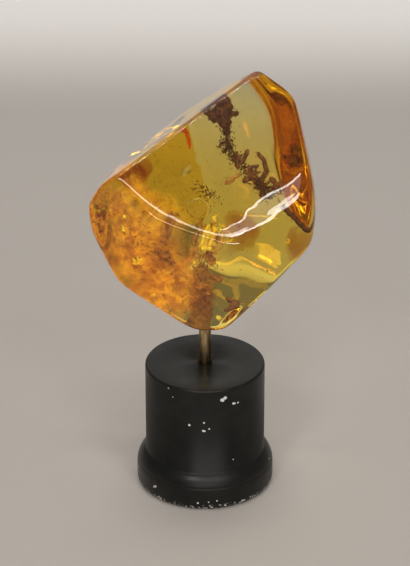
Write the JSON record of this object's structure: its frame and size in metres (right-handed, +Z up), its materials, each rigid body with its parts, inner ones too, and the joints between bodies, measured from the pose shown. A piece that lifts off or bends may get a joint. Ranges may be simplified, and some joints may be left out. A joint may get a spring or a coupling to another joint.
{
  "type": "copal specimen on a stand",
  "caption": "Polished lump of clear golden copal with insects and bark scraps sealed in it, held up on a brass rod in a black turned stand.",
  "frame": {"origin": "middle of the stand's flat underside, on the axis of the rod", "axes": "+Z up along the rod; -Y is the side that the stone's two large front facets face; +X to the right seen from there"},
  "size_m": [0.0746, 0.0515, 0.1429],
  "materials": {
    "black_paint": "satin black paint over a white undercoat on turned wood, chipped in places",
    "brass": "dull, aged",
    "cement": "brown resin cement",
    "copal": "clear golden fossil resin, polished",
    "bark": "dark, rough",
    "insect": "dark brown shell",
    "wing": "thin, tan",
    "crumb": "soft brown crumb"
  },
  "bodies": {
    "root": {"stand": "black_paint", "rod": "brass", "mounting_glue": "cement", "copal_front": "copal", "copal_back": "copal", "bark_clump": "bark", "rootlet": "bark", "bark_splinter": "bark", "twig": "bark", "ant_upper": "insect", "ant_middle": "insect", "ant_lower": "insect", "ant_side": "insect", "gnat": "insect", "wing_scrap": "wing", "crumb_left": "crumb", "crumb_middle": "crumb", "crumb_low": "crumb"}
  },
  "joints": []
}
